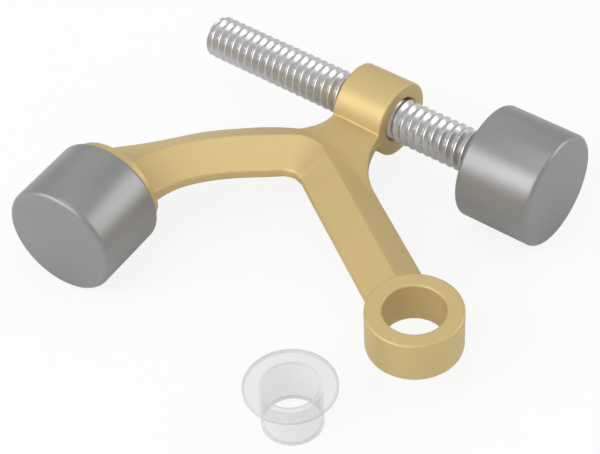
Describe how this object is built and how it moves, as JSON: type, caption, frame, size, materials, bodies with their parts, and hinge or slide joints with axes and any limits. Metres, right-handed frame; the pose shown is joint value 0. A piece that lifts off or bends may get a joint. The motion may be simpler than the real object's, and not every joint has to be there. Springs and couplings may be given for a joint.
{
  "type": "hinge pin door stop",
  "caption": "Hinge pin door stop: a cast body with an eye for the hinge pin, a threaded rod that sets a rubber tip, a fixed rubber tip and a clear bushing for thinner pins.",
  "frame": {"origin": "centre of the eye's bore, at the casting's mid height", "axes": "+Z along the hinge pin, +X along the threaded rod towards its rubber tip, +Y from the eye towards the rod"},
  "size_m": [0.0644, 0.0619, 0.0164],
  "materials": {
    "cast_brass": "satin",
    "steel_rod": "bright rolled thread",
    "grey_rubber": "smooth matte",
    "clear_plastic": "translucent moulded"
  },
  "bodies": {
    "stop": {"stop_body": "cast_brass", "wall_bumper": "grey_rubber", "pin_bushing": "clear_plastic"},
    "sliding_tip": {"door_bumper": "grey_rubber"},
    "turning_rod": {"threaded_rod": "steel_rod"}
  },
  "joints": [
    {"name": "rod_travel", "type": "slide", "parent": "stop", "child": "sliding_tip", "axis": [1, 0, 0], "range_m": [-0.013, 0.024]},
    {"name": "rod_turn", "type": "hinge", "parent": "sliding_tip", "child": "turning_rod", "pos_m": [-0.03, 0.0314, 0], "axis": [1, 0, 0], "range_deg": [-3686, 6804]}
  ],
  "couplings": [
    {"joint": "rod_turn", "follows": "rod_travel", "rad_per_m": 4947.4}
  ]
}
